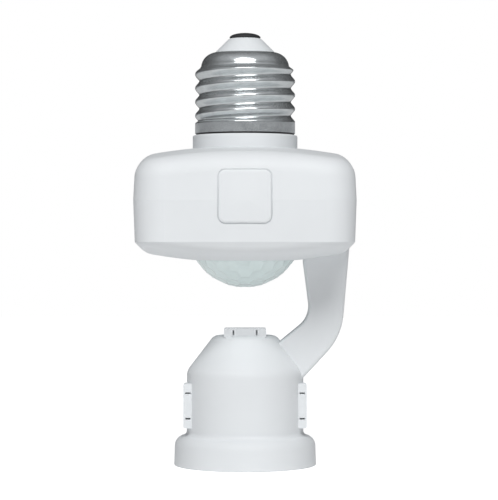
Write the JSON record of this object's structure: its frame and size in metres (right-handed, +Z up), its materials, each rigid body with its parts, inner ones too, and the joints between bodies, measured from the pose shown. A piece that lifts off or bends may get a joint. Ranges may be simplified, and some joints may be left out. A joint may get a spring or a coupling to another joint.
{
  "type": "motion sensor lamp holder",
  "caption": "Screw-in motion sensor lamp holder: screw cap on a rounded square sensor casing with a domed lens, and a lamp socket below on a curved side arm.",
  "frame": {"origin": "centre of the lamp socket's rim, on the plane it stands on", "axes": "+Z up through the socket to the tip of the screw cap, the plain front faces -Y, the arm is on +X"},
  "size_m": [0.0568, 0.0568, 0.1139],
  "materials": {
    "white_plastic": "satin moulded white",
    "lens_plastic": "milky, faceted",
    "grey_plastic": "moulded",
    "nickel": "rolled and nickel plated",
    "insulator_white": "satin",
    "ceramic_white": "unglazed",
    "dark_contact": "dull solder",
    "brass": "stamped",
    "board_green": "solder mask",
    "zinc_steel": "bright zinc",
    "sensor_face": "ceramic disc",
    "component_black": "moulded",
    "component_blue": "moulded",
    "component_yellow": "moulded",
    "wire_brown": "insulated",
    "wire_blue": "insulated"
  },
  "bodies": {
    "root": {"main_housing": "white_plastic", "bottom_cover": "white_plastic", "holder_front": "white_plastic", "holder_rear": "white_plastic", "fresnel_lens": "lens_plastic", "lens_retainer": "grey_plastic", "cap_screw_shell": "nickel", "socket_screw_shell": "nickel", "cap_insulator": "insulator_white", "contact_carrier": "ceramic_white", "cap_centre_contact": "dark_contact", "socket_centre_contact": "brass", "neutral_terminal": "brass", "carrier_rivets": "brass", "circuit_board": "board_green", "board_screws": "zinc_steel", "motion_sensor": "zinc_steel", "light_sensor": "sensor_face", "control_chip": "component_black", "switching_relay": "component_blue", "dropper_capacitor": "component_yellow", "smoothing_capacitor": "component_black", "live_feed_wire": "wire_brown", "lamp_live_wire": "wire_brown", "neutral_feed_wire": "wire_blue", "lamp_neutral_wire": "wire_blue"}
  },
  "joints": []
}
